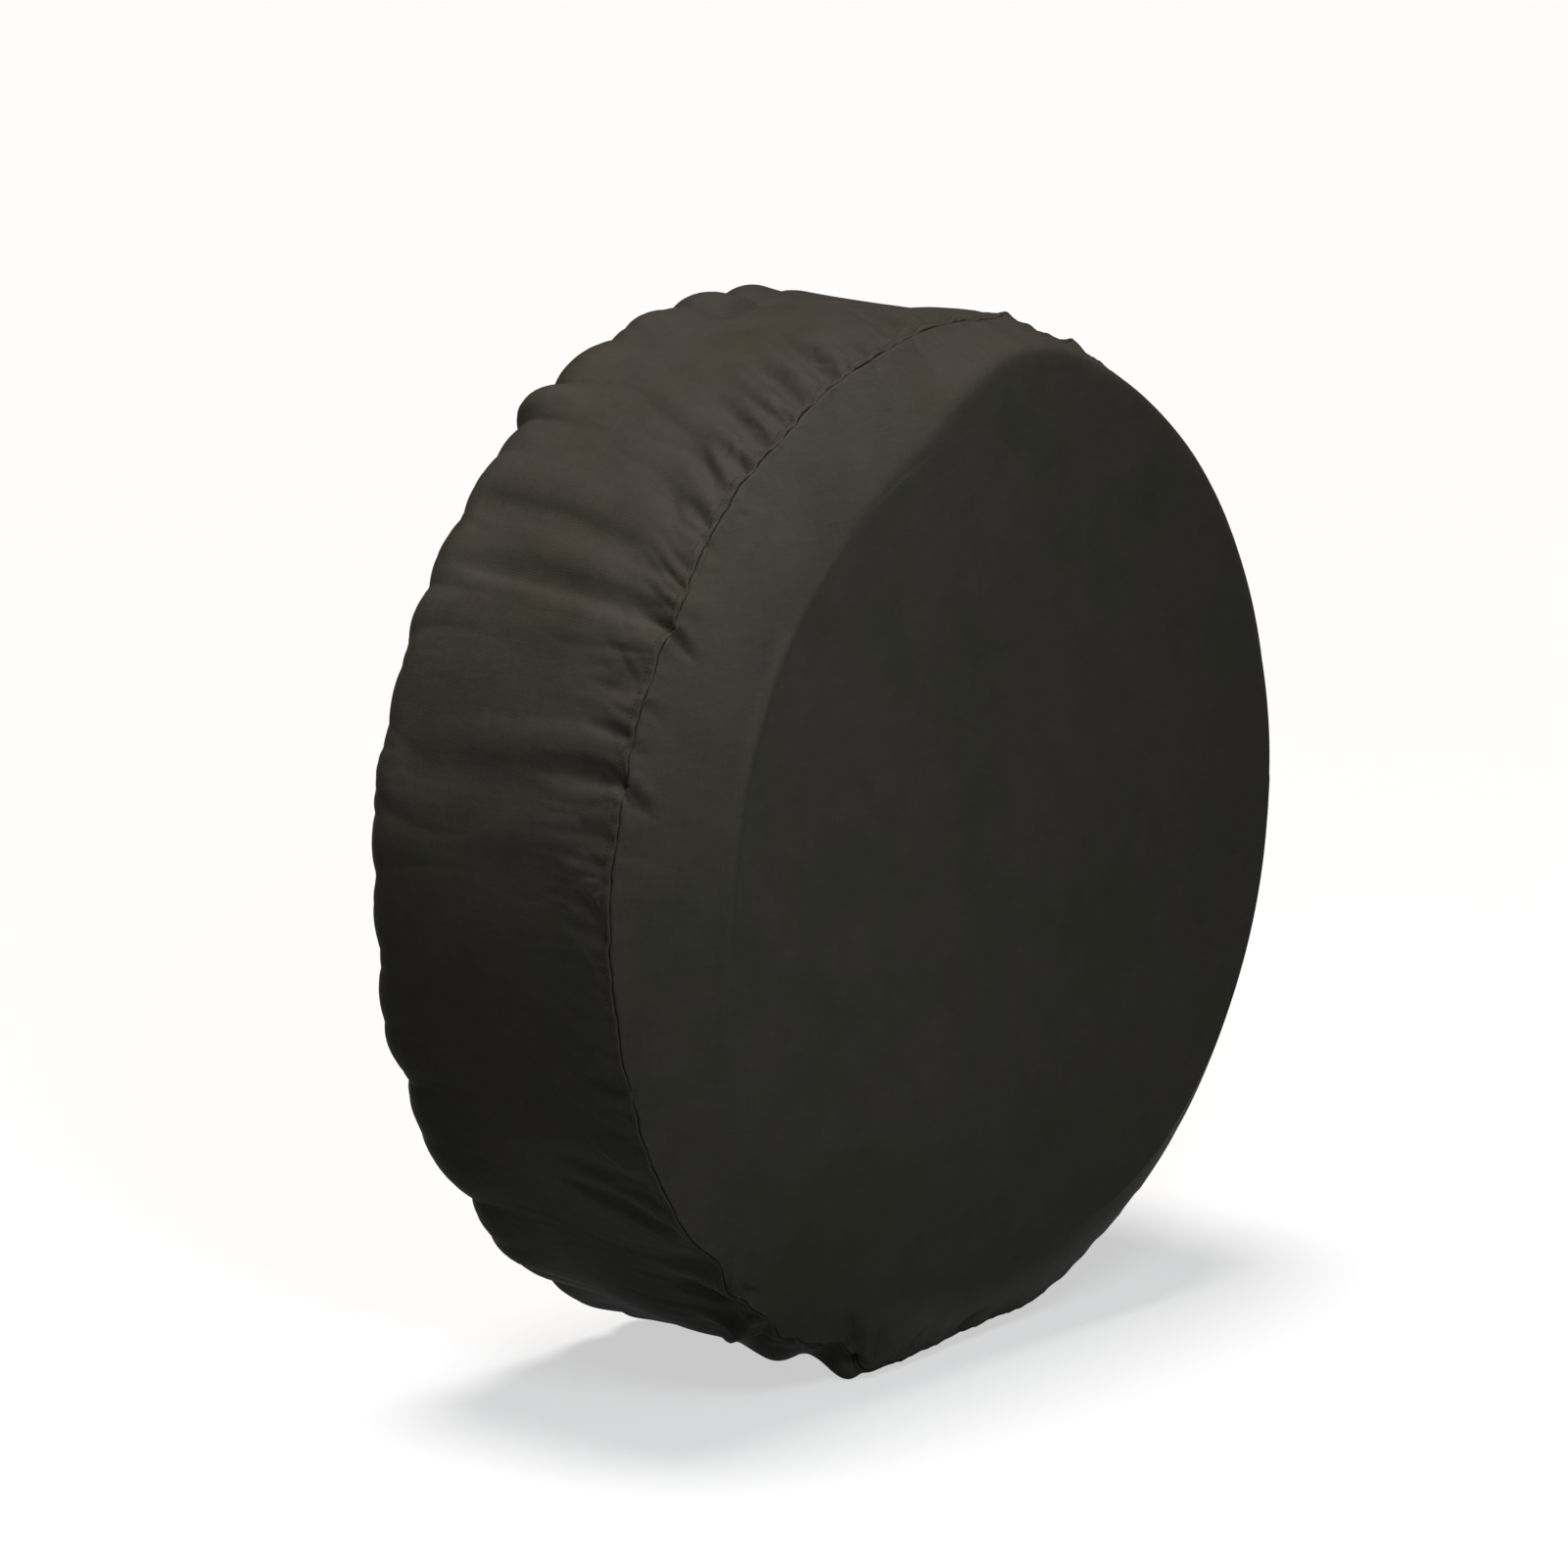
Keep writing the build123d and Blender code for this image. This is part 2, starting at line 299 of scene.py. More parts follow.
# Valleys of the rear edge, in degrees from the top towards the left, and the height of the lobe
# before each.
NOTCHES = [0.7, 8.5, 18, 28, 34.9, 47, 57, 66, 74.2, 81.5, 88.8, 99, 112.5, 131, 146.5, 158, 171]
LOBES = [12, 12, 8, 8, 11, 1.4, 1.4, 1.2, 1.8, 4, 1.8, 1.6, 6.5, 9.5, 9.5, 9, 6]
# How far the rear edge stands out from the tread all round, under its lobes.
REAR_STANDS = [(0, 1), (12, 4), (22, 8), (32, 8), (40, 6), (90, 5), (100, 3), (111, 6), (120, 4), (135, 3)]
REAR_STANDS += [(150, 1), (180, 0), (270, 3)]


def hem_gathers():
    """Tight pleats on the skirt, where the elastic draws it in, that merge into lobes at the shoulder."""
    back = S_END - RUN
    g = np.random.default_rng(91)
    notches = [math.radians(a) * RADIUS for a in NOTCHES]
    while notches[-1] < LOOP - 140:
        notches.append(notches[-1] + g.uniform(38, 96))
    nodes = np.array(notches + [LOOP - math.radians(7) * RADIUS])
    heights = 6.5 * g.uniform(0.35, 1.3, len(nodes))
    heights[: len(LOBES)] = LOBES
    before = np.concatenate([[nodes[-1] - LOOP], nodes[:-1]])
    middles = np.degrees((nodes + before) / 2 / RADIUS)
    base = round_the_loop(sorted(zip(np.mod(middles, 360), heights)), 8)
    place = RUN - (S_SKIRT - 16)
    reach = np.where(place < 0, 0.45 + 0.55 * smoothstep(base, 2, 7), 1)
    shift = 9 * sheet_noise(X, back, 210, 160, 95)
    lobes = arches(X + shift * smoothstep(back, 60, 160), nodes, heights, 0.75)
    total = np.exp(-((place / (48 * reach)) ** 2)) * (lobes - 0.42 * base)
    total += round_the_loop(REAR_STANDS, 12) * np.exp(-((place / 46) ** 2))
    layers = [(54, 3.6, 66, 60, 21), (27, 4.6, 20, 46, 22), (13.5, 1.3, 10, 26, 23)]
    for spacing, height, hold, fade, seed in layers:
        shift = 0.3 * spacing * sheet_noise(X, back, 4 * spacing, 4 * spacing, seed + 60)
        strength = np.exp(-((np.maximum(back - hold, 0) / fade) ** 1.6))
        row = arch_row(X + shift, spacing, 0.4, height, (0.45, 1.25), seed)
        total += strength * (row - 0.6 * height)
    return (RUN >= 0) * total


def long_folds():
    """Soft folds that cross the band, and the ones that run over the seam."""
    folds = [
        # Two long valleys with the ridges beside them, on the upper left.
        ([(50.2, 34), (48.6, 80), (46.4, 150), (45.8, 235)], -2.8, 14, (0.35, 0.1), 0.3),
        ([(46.2, 30), (43.6, 110), (42.2, 190), (41.6, 240)], 2.4, 20, (0.3, 0.15)),
        ([(57.4, -4), (56.6, 14), (55, 90), (54, 160), (53.6, 240)], -3.4, 11, (0.06, 0.25), -0.3),
        ([(53.6, 4), (51.6, 90), (50.2, 170)], 1.8, 15, (0.15, 0.3)),
        ([(61, 6), (60, 70), (59, 170)], 1.7, 15, (0.15, 0.3)),
        ([(65.2, 3), (64.6, 30), (64, 62)], -2, 6, (0.1, 0.6)),
        ([(69.4, 3), (68.8, 30), (68.4, 58)], -1.8, 5, (0.1, 0.6)),
        ([(57.3, -2), (56.9, 14), (56, 46)], -2.4, 5.5, (0.05, 0.6)),
        # The step where the band turns away from the light, and small ones below it.
        ([(74.5, -2), (74.2, 12), (73.8, 44)], -2.6, 5.5, (0.05, 0.6)),
        ([(74.6, -2), (74, 12), (74, 60), (74.4, 110)], -3.4, 10, (0.06, 0.6), -0.35),
        ([(76, 60), (75.6, 140), (76.4, 235)], -1.4, 18, (0.3, 0.12)),
        ([(71.6, 8), (71.2, 90), (72, 190)], 1.5, 16, (0.15, 0.3)),
        ([(79.6, 20), (80.6, 90), (83.4, 170)], 1.4, 18, (0.3, 0.4)),
        ([(83.2, 3), (82.6, 35), (82, 60)], -1.4, 6, (0.1, 0.6)),
        ([(90.5, 0), (90, 30), (89.4, 55)], -1.8, 6, (0.1, 0.6)),
        ([(108.3, -6), (108, 10), (106.8, 50)], -2.4, 7, (0.08, 0.5)),
        ([(121, 2), (119.6, 50), (118, 110)], -2.4, 11, (0.1, 0.4)),
        ([(127.6, 4), (123.6, 60), (121.6, 120)], -3.2, 9, (0.1, 0.4)),
        ([(124.8, 4), (121.4, 50)], 2.2, 9, (0.2, 0.4)),
    ]
    # On the top, where the gathers lean towards the left.
    for start, reach, depth, width in (
        (4, 70, -2.6, 8),
        (9.5, 110, -4.2, 9),
        (16.5, 90, -3, 8),
        (22, 130, -5.6, 10),
        (27.5, 118, -5.8, 10),
        (31, 62, -2.8, 6),
        (34.6, 100, -5, 8),
        (38.2, 58, -3.4, 6),
        (41.2, 84, -3, 7),
        (45.6, 50, -2.8, 6),
    ):
        swing = math.degrees(0.58 * reach / RADIUS)
        path = [(start, 3), (start - 0.42 * swing, 0.4 * reach), (start - swing, reach)]
        folds.append((path, depth, width, (0.08, 0.55)))
        folds.append(([(a + 1.9, run) for a, run in path], -0.55 * depth, 1.25 * width, (0.15, 0.6)))
    # Darts: the puckers that cross the seam on to the face.
    folds += [
        ([(57.4, 0), (58.4, -10), (60.2, -27)], -4.8, 4.6, (0.05, 0.75)),
        ([(56.2, -2), (57.4, -14), (59.2, -28)], 1.4, 5, (0.1, 0.6)),
        ([(74.6, 0), (75.8, -10), (77.8, -26)], -4.8, 4.8, (0.05, 0.75)),
        ([(73, -2), (74.2, -14), (76.2, -26)], 1.4, 5, (0.1, 0.6)),
        ([(65.4, 0), (66.6, -10), (67.6, -18)], -1.6, 4, (0.05, 0.7)),
        ([(69.8, 0), (70.8, -8), (71.8, -16)], -1.6, 4, (0.05, 0.7)),
    ]
    for place, reach in ((8.2, -26), (15.6, -20), (22.4, -30), (33, -18), (41.5, -22), (47, -14)):
        path = [(place, 0), (place + 0.8, 0.4 * reach), (place + 1.4, reach)]
        folds.append((path, -1.5, 3.6, (0.05, 0.7)))
    # Out of sight from the front left: the same kinds of fold down the other side.
    g = np.random.default_rng(404)
    for a in np.cumsum(g.uniform(6, 12, 20)) + 200:
        if a > 356:
            break
        far = g.uniform(60, 200)
        swing = g.uniform(0.1, 0.4) * math.degrees(far / RADIUS)
        depth = g.uniform(-4.4, -2.4)
        width = g.uniform(7, 12)
        folds.append(([(a, 2), (a + 0.5 * swing, far / 2), (a + swing, far)], depth, width, (0.1, 0.45)))
        folds.append(([(a + 3, 8), (a + 3 + swing, far)], -0.5 * depth, 1.5 * width, (0.2, 0.4)))
    # Where the cloth bunches at the bottom: ridges that fan out over the face from the pinched seam.
    for path, height, width in (
        ([(153, 80), (147.6, 42), (142.8, 5)], 5.5, 6.5),
        ([(152.6, 50), (148.6, 20), (146.2, 4)], -4.5, 6),
        ([(141, 40), (139.4, 16), (138, 3)], -3.5, 6.5),
        ([(157.6, 30), (156, 12), (154, 3)], 3, 5),
    ):
        folds.append((path, height, width, (0.3, 0.1)))
    for path, height, width in (
        ([(136.6, -4), (135, -14), (132.6, -24)], 3, 4.5),
        ([(139.4, -3), (138.6, -12), (137.2, -20)], -2.8, 3.6),
        ([(163.6, -4), (161.4, -24), (158.6, -52)], 3.6, 5),
        ([(161.2, -4), (158.8, -22), (155.6, -44)], -2.8, 4.5),
        ([(167.6, -4), (167.2, -20), (166.2, -42)], 3.4, 5),
        ([(165.4, -6), (164.6, -22), (163, -46)], -3.2, 4),
        ([(170.4, -4), (171.6, -20), (172.4, -34)], -2.4, 5),
        ([(174, -4), (176, -22), (177.6, -40)], 2.4, 6),
        ([(179, -3), (182, -18), (184, -34)], -2.2, 6),
    ):
        folds.append((path, height, width, (0.1, 0.6)))
    h = np.zeros((len(S), COLUMNS))
    for fold in folds:
        ridge(h, *fold)
    return h


def bunching():
    """Moves out and back, for the cloth that hangs and bunches at the bottom."""
    less = 1 - 0.3 * smoothstep(RUN, S_SKIRT - 40, S_SKIRT + 20)
    out = window(143, 172, 12) * smoothstep(RUN, 4, 60) * less * 6.0
    back = np.zeros_like(out)
    # The first lump hangs from the band beside the seam, the second opens into a small pocket.
    out += 12 * spot(156.4, 50, 24, 26) + 4 * spot(151, 90, 30, 34)
    out += 15.5 * spot(163.2, 20, 15, 17) + 6 * spot(165, -8, 14, 13)
    out -= 14 * spot(162.3, 4, 5.2, 5.6)
    back -= 6 * spot(163.8, 19, 14, 13) + 5 * spot(154.5, 40, 18, 20)
    back += 7.5 * spot(162.8, 2, 6, 5.2)
    # The roll of the band that leans over the seam before them, with the hollow on each side.
    out += 9 * spot(146.5, 24, 9, 30, 28) - 9 * spot(150.2, 13, 7, 12, 10)
    out -= 9 * spot(138.6, 27, 13, 22, 15)
    back -= 5 * spot(144.5, 10, 9, 10)
    out += 5 * spot(136, -13, 9, 9) - 5 * spot(140, -9, 6, 9)
    back -= 3 * spot(136, -12, 9, 9)
    # Small bumps of the seam where the face's edge passes out of sight at the top.
    out += 3.5 * spot(351.6, -2, 7, 10) + 5 * spot(338.4, -3, 6, 10) - 2.5 * spot(345, 2, 8, 12)
    out += 4 * spot(2, 36, 40, 34)
    # The hem stands up behind a hollow at the very top, and the band hangs a little at the lower left.
    out -= 13 * spot(3, 187, 36, 12)
    out += 7 * spot(146, 112, 42, 60)
    return out, back


# Radius where the face stops being flat, for each angle. On the upper right the tyre's edge runs out
# to the seam.
FLAT_ENDS = [(40, 337), (28, 340), (17, 349), (7.6, 369), (3, 381), (-2, 389), (-10, 388), (-20, 380)]
FLAT_ENDS += [(-35, 367), (-45, 360), (-60, 350), (-75, 342), (-92, 337), (-200, 337)]


def flat_to_the_rim():
    """On the upper right the face stays flat past the tyre's edge and turns down close to the seam."""
    flat = np.maximum(round_the_loop(sorted((a % 360, r) for a, r in FLAT_ENDS), 5) - DISC_RADIUS, 0)
    nose_r, nose_y = rows[N_FACE - 1]
    width, depth = nose_r - DISC_RADIUS, nose_y - FRONT
    fall = np.hypot(width - flat, depth)
    t = np.clip((ROW_R - DISC_RADIUS) / width, 0, 1)
    run = t * (flat + fall)
    corner = np.minimum(7.0, 1.2 * flat) + 1e-6
    over = run - flat
    fallen = (over + np.hypot(over, corner)) / 2
    whole = (fall + np.hypot(fall, corner)) / 2
    level = run - fallen - t * (fall - whole)
    share = fallen / whole
    r = DISC_RADIUS + level + share * (width - flat)
    y = FRONT + depth * share
    taut = smoothstep(flat, 0, 6)
    r = r - (1 - taut) * (DISC_RADIUS + t * width) - taut * ROW_R
    y = y - (1 - taut) * (FRONT + t * depth) - taut * ROW_Y
    sloping = (RUN < 0) & (ROW_R >= DISC_RADIUS)
    return sloping * r, sloping * y


def cloth_points():
    """The outside of the cloth before it settles: the profile turned round the axis, with its folds."""
    s = RUN
    phi, radius = PHI[None, :], ROW_R
    h = seam_puckers() + face_puckers() + hem_gathers() + long_folds()
    # Slack of the band between its two gathered edges, and the face's slow waves.
    mid = smoothstep(s, 20, 110) * smoothstep(S_END - s, 60, 150)
    h += mid * 1.3 * sheet_noise(X, s, 190.0, 300.0, 31)
    h -= 0.45 * np.exp(-(((s - TOPSTITCH_RUN) / 1.7) ** 2))
    on_face = s < 0
    px, pz = -radius * np.sin(phi), radius * np.cos(phi)
    slow = np.sin(px / 61 + 0.8) * np.sin(pz / 83 + 2.1) + 0.6 * np.sin(px / 34 - pz / 47 + 0.4)
    h += on_face * 0.45 * slow * smoothstep(-s, 0, 60)
    # The tyre's edge shows as a thin ridge on the left, and hardly at all elsewhere.
    h += on_face * 2.0 * window(50, 104, 14) * np.exp(-(((radius - DISC_RADIUS - 1.5) / 4.4) ** 2))
    h -= on_face * 1.2 * window(20, 200, 30) * smoothstep(DISC_RADIUS - radius, 2, 50)
    sloping = np.clip((radius - DISC_RADIUS) / (RADIUS - DISC_RADIUS), 0, 1) * on_face
    fullness = 2.4 * window(20, 70, 22) - 1.6 * window(78, 106, 14) - 2.0 * window(225, 290, 20)
    h += np.sin(math.pi * sloping) * fullness
    out, back = bunching()
    eased = np.clip((radius - EASE_START) / (RADIUS - EASE_START), 0, 1) ** 1.35
    soft_face = FRONT + (SEAM_Y - FRONT) * eased
    back = back + on_face * (soft_face - ROW_Y) * window(106, 190, 26)
    rim_out, rim_back = flat_to_the_rim()
    out, back = out + rim_out, back + rim_back
    near = np.exp(-((s / np.where(on_face, 42.0, 34.0)) ** 2))
    out = out + round_the_loop(SEAM_OUT, 2.0) * near
    back = back + round_the_loop(SEAM_BACK, 3.0) * near
    back = back + 0.95 * wave_noise(X, LOOP, 44.0, 52) * np.exp(-((s / 18.0) ** 2))
    r = radius + normals[:, 0:1] * h + out
    y = ROW_Y + normals[:, 1:2] * h + back
    return np.stack([-r * np.sin(phi), y, r * np.cos(phi)], 2)


def pull(a, b, rest, wa, wb, stiffness, only_push=False):
    """Moves both ends of every pair towards their rest length, in place."""
    d = b - a
    length = np.sqrt((d * d).sum(-1, keepdims=True)) + 1e-6
    off = length - rest
    if only_push:
        off = np.minimum(off, 0.0)
    d *= stiffness * off / length / (wa + wb + 1e-9)
    a += wa * d
    b -= wb * d


def around(p, w, rest, reach, stiffness, only_push=False):
    """Pairs along the loop, reach columns apart, in groups that share no point."""
    n = p.shape[1]
    block = 2 * reach
    for first in range(block):
        i = np.arange(first, first + n, block) % n
        k = (i + reach) % n
        a, b = p[:, i], p[:, k]
        pull(a, b, rest[:, i], w, w, stiffness, only_push)
        p[:, i], p[:, k] = a, b


def across(p, w, rest, reach, stiffness, shift=0, only_push=False):
    """Pairs from row to row, straight or diagonal."""
    block = 2 * reach
    for first in range(block):
        j = np.arange(first, p.shape[0] - reach, block)
        k = j + reach
        a = p[j]
        b = np.roll(p[k], -shift, axis=1)
        pull(a, b, rest[j], w[j], w[k], stiffness, only_push)
        p[j] = a
        p[k] = np.roll(b, shift, axis=1)


def gaps(p, rows_apart, columns_apart):
    """Distances from each point to the one some rows and columns further on."""
    far = np.roll(p, -columns_apart, axis=1)
    if rows_apart:
        far = np.concatenate([far[rows_apart:], far[-rows_apart:]])
    return np.linalg.norm(far - p, axis=-1, keepdims=True)


def relax(target, steps, rounds, bend, memory, hold, slack):
    """Cloth simulation of the band: its strip keeps its length, so the slack buckles into folds."""
    p = target.copy()
    before = p.copy()
    w = (1.0 - hold)[:, None, None]
    along, along_two, along_five = (gaps(target, 0, k) * slack for k in (1, 2, 5))
    back, back_two = gaps(target, 1, 0), gaps(target, 2, 0)
    left, right = gaps(target, 1, 1), gaps(target, 1, -1)
    for _ in range(steps):
        speed = 0.9 * (p - before)
        before = p.copy()
        p += w * (speed + memory * (target - p))
        for _ in range(rounds):
            around(p, w, along, 1, 0.9)
            across(p, w, back, 1, 0.9)
            across(p, w, left, 1, 0.25, 1)
            across(p, w, right, 1, 0.25, -1)
            around(p, w, along_two, 2, bend, True)
            around(p, w, along_five, 5, 0.6 * bend, True)
            across(p, w, back_two, 2, bend, 0, True)
    return p


def finer(p):
    """The same sheet with twice the columns."""
    middle = (9 * (p + np.roll(p, -1, 1)) - np.roll(p, 1, 1) - np.roll(p, -2, 1)) / 16
    return np.stack([p, middle], 2).reshape(p.shape[0], -1, 3)


def simulate(p):
    """Settles the band, coarse then fine. The rows at the seam and the casing stay where they are."""
    hold = 1.0 - smoothstep(band_s, 1.0, 7.0) * (1 - smoothstep(band_s, S_CASING - 8, S_CASING))
    share = 0.25 + 0.75 * np.exp(-((band_s[:, None] / 55.0) ** 2))
    slack = (1 + share * round_the_loop(SLACK, 10) / 100)[:, :, None]
    coarse = p[:, ::2]
    half = relax(coarse, 30, 4, bend=0.25, memory=0.02, hold=hold, slack=slack[:, ::2])
    moved = p + finer(half - coarse)
    return relax(moved, 8, 4, bend=0.3, memory=0.02, hold=hold, slack=1.0)


POINTS = cloth_points()
POINTS[N_FACE:] = simulate(POINTS[N_FACE:])


# ---- meshes
def sheet_normals(p):
    """Outward normals of a grid of points that closes round the loop."""
    around = np.roll(p, -1, 1) - np.roll(p, 1, 1)
    along = np.gradient(p, axis=0)
    n = np.cross(along, around)
    return n / np.maximum(np.linalg.norm(n, axis=2, keepdims=True), 1e-9)


POINTS = POINTS + sheet_normals(POINTS) * crinkles()[:, :, None]


def add_object(name, data):
    thing = bpy.data.objects.new(name, data)
    bpy.context.scene.collection.objects.link(thing)
    return thing


def make_object(name, vertices, faces, materials, uvs, face_materials=None):
    mesh = bpy.data.meshes.new(name)
    mesh.from_pydata((vertices * MM).tolist(), [], faces)
    for material in materials:
        mesh.materials.append(material)
    mesh.uv_layers.new(name="cloth").data.foreach_set("uv", uvs.ravel())
    if face_materials is not None:
        mesh.polygons.foreach_set("material_index", face_materials)
    mesh.polygons.foreach_set("use_smooth", [True] * len(mesh.polygons))
    mesh.update()
    return add_object(name, mesh)


def grid_faces(first, count_rows, flip=False):
    j, i = np.meshgrid(np.arange(count_rows - 1), np.arange(COLUMNS), indexing="ij")
    a = first + j * COLUMNS + i
    b = first + j * COLUMNS + (i + 1) % COLUMNS
    c, d = b + COLUMNS, a + COLUMNS
    return np.stack([a, b, c, d] if flip else [a, d, c, b], 2).reshape(-1, 4)


def closed_sheet(name, outer, inner, uv, materials, coated=slice(None), crown=False):
    """A closed sheet of cloth from its outer and inner grids. A crown closes both over the middle.

    The rows in the coated slice show the second material on the inside.
    """
    outer, inner = np.array(outer), np.array(inner)
    count_rows = len(outer)
    size = count_rows * COLUMNS
    verts = np.concatenate([outer.reshape(-1, 3), inner.reshape(-1, 3)])
    quads = [grid_faces(0, count_rows), grid_faces(size, count_rows, flip=True)]
    last = size - COLUMNS
    i = np.arange(COLUMNS)
    k = (i + 1) % COLUMNS
    quads.append(np.stack([last + i, size + last + i, size + last + k, last + k], 1))
    if not crown:
        quads.append(np.stack([i, k, size + k, size + i], 1))
    quads = np.concatenate(quads)
    slot = np.zeros(len(quads), int)
    slot[last : 2 * last].reshape(-1, COLUMNS)[coated] = 1
    faces = quads.tolist()
    uv_vertex = np.concatenate([uv.reshape(-1, 2)] * 2)
    loops = uv_vertex[quads.ravel()].reshape(-1, 4, 2)
    if not crown:
        span = LOOP * MM
        u = loops[:, :, 0]
        over_the_start = (u.max(1) - u.min(1) > span / 2)[:, None]
        loops[:, :, 0] += span * (over_the_start & (u < span / 2))
    loops = loops.reshape(-1, 2)
    if crown:
        verts = np.concatenate([verts, [outer[0].mean(0), inner[0].mean(0)]])
        top = np.full(COLUMNS, 2 * size)
        fans = np.concatenate([np.stack([top, i, k], 1), np.stack([top + 1, size + k, size + i], 1)])
        faces += fans.tolist()
        uv_all = np.concatenate([uv_vertex, np.zeros((2, 2))])
        loops = np.concatenate([loops, uv_all[fans.ravel()]])
        slot = np.concatenate([slot, np.repeat([0, 1], COLUMNS)])
    return make_object(name, verts, faces, materials, loops, slot)


# ---- placing things on the cloth
FACE, BAND = POINTS[:N_FACE], POINTS[N_FACE:]
FACE_N, BAND_N = sheet_normals(FACE), sheet_normals(BAND)


def on_band(phi, s, depth=0.0):
    """Points on the band's outside at angles and runs, moved in by a depth, and the normals there."""
    phi, s, depth = np.broadcast_arrays(phi, s, depth)
    column = np.mod(phi / TAU * COLUMNS, COLUMNS)
    i = np.floor(column).astype(int) % COLUMNS
    f = (column - np.floor(column))[..., None]
    row = np.interp(s, band_s, np.arange(len(band_s)))
    j = np.minimum(row.astype(int), len(band_s) - 2)
    g = (row - j)[..., None]
    k = (i + 1) % COLUMNS

    def mix(a):
        low, high = (a[m, i] * (1 - f) + a[m, k] * f for m in (j, j + 1))
        return low * (1 - g) + high * g

    n = mix(BAND_N)
    n /= np.linalg.norm(n, axis=-1, keepdims=True)
    return mix(BAND) - n * depth[..., None], n


def rows_at(runs, depths):
    """Rows of points all round the cover, at runs and depths under the band's outside."""
    return [on_band(PHI, s, depth)[0] for s, depth in np.broadcast(runs, depths)]


def rolled(s_centre, depth_centre, radius, angles, sign):
    """Rows of a fold's nose, round a centre inside the cloth, turning away from the band."""
    here, n = on_band(PHI, s_centre, depth_centre)
    ahead, _ = on_band(PHI, s_centre + 1.0, depth_centre)
    along = ahead - here
    along /= np.linalg.norm(along, axis=-1, keepdims=True)
    return [here + radius * (math.cos(a) * n + sign * math.sin(a) * along) for a in angles]


LIP = 15.4  # how far both seam allowances reach behind the seam
LIP_RUNS = [LIP, 12.0, 9.0, 6.5, 4.0, 2.6]
LIP_DEPTH = 3.1  # of the face's allowance under the outside of the band
NOSE = 1.4  # radius of the band's fold at the seam
# Rows beside the seam that show the dyed side of the cloth on both sides.
FACE_EDGE_ROWS, BAND_EDGE_ROWS = 13, 17


def cloth_uv(s_rows):
    return np.stack(np.meshgrid(ARC * MM, np.array(s_rows) * MM), 2)


def build_face(materials):
    outer, inner = list(FACE), list(FACE - CLOTH * FACE_N)
    lip = [0.4] + LIP_RUNS[::-1]
    outer += rows_at(lip, LIP_DEPTH)
    inner += rows_at(lip, LIP_DEPTH + CLOTH)
    phi = PHI[None, :]
    flat_r = np.concatenate([rows[:N_FACE, 0], rows[N_FACE - 1, 0] + np.arange(1, 8) * 2.0])
    flat_r += 0.25 * np.maximum(flat_r - DISC_RADIUS, 0)
    uv = np.stack([-flat_r[:, None] * np.sin(phi), flat_r[:, None] * np.cos(phi)], 2) * MM
    coated = slice(0, -FACE_EDGE_ROWS)
    return closed_sheet("face_panel_cloth", outer, inner, uv, materials, coated, crown=True)


def build_band(materials):
    on_wall = [s for s in band_s if NOSE < s < S_RAW] + [S_RAW]
    turns = np.linspace(math.pi, 0, 7)
    outer = rows_at(LIP_RUNS, 2 * NOSE) + rolled(NOSE, NOSE, NOSE, turns, -1) + rows_at(on_wall, 0)
    inner = rows_at(LIP_RUNS, 2 * NOSE - CLOTH) + rolled(NOSE, NOSE, NOSE - CLOTH, turns, -1)
    inner += rows_at(on_wall, CLOTH)
    runs = [-run - 4 for run in LIP_RUNS] + list(np.linspace(-4, 0, 7)) + on_wall
    coated = slice(BAND_EDGE_ROWS, None)
    return closed_sheet("side_band_cloth", outer, inner, cloth_uv(runs), materials, coated)


def build_casing(materials):
    half, tape, middle = 1.8, 0.8, 0.5  # half the casing's thickness, the tape's, and the middle's depth
    runs = np.linspace(S_CASING, S_END - half, 12)
    width = S_END - S_CASING
    swell = 1.1 * np.exp(-(((runs - S_CASING - 0.62 * width) / (0.27 * width)) ** 2))
    edge = np.where(np.arange(len(runs)), 0.0, 0.5)
    turns = np.linspace(0, math.pi, 9)
    outer = rows_at(runs, middle - half - swell + edge)
    inner = rows_at(runs, middle - half - swell + tape)
    outer += rolled(S_END - half, middle, half, turns, 1)[1:-1]
    inner += rolled(S_END - half, middle, half - tape, turns, 1)[1:-1]
    outer += rows_at(runs, middle + half + swell - edge)[::-1]
    inner += rows_at(runs, middle + half + swell - tape)[::-1]
    v = np.arange(len(outer)) * 2.6
    return closed_sheet("hem_casing_tape", outer, inner, cloth_uv(v), materials)


def build_elastic(materials):
    runs = run_at(np.array([316.0, 310.0, 304.0, 298.0]))
    sides = rows_at(runs, -0.1), rows_at(runs, 1.1)
    return closed_sheet("hem_elastic_strip", *sides, cloth_uv(runs), materials)


# ---- thread
def tubes(name, paths, lifts, radii, sides=6):
    """Round threads, one for each path of points. lifts are the directions away from the cloth."""
    count, length = paths.shape[:2]
    along = np.gradient(paths, axis=1)
    along /= np.maximum(np.linalg.norm(along, axis=2, keepdims=True), 1e-9)
    side = np.cross(along, lifts)
    side /= np.maximum(np.linalg.norm(side, axis=2, keepdims=True), 1e-9)
    lift = np.cross(side, along)
    a = (np.arange(sides) / sides * TAU)[:, None]
    ring = side[:, :, None] * np.cos(a) + lift[:, :, None] * np.sin(a)
    verts = paths[:, :, None] + ring * radii[:, None, None]
    k = np.arange(sides)
    first = (np.arange(count) * length * sides)[:, None, None]
    j = (np.arange(length - 1) * sides)[None, :, None]
    p, q = first + j + k, first + j + (k + 1) % sides
    quads = np.stack([p, p + sides, q + sides, q], 3).reshape(-1, 4)
    faces = quads.tolist() + (first[:, 0] + k).tolist()
    faces += (first[:, 0] + (length - 1) * sides + k[::-1]).tolist()
    uv = np.zeros((sum(len(f) for f in faces), 2))
    return make_object(name, verts.reshape(-1, 3), faces, [THREAD_MAT], uv)


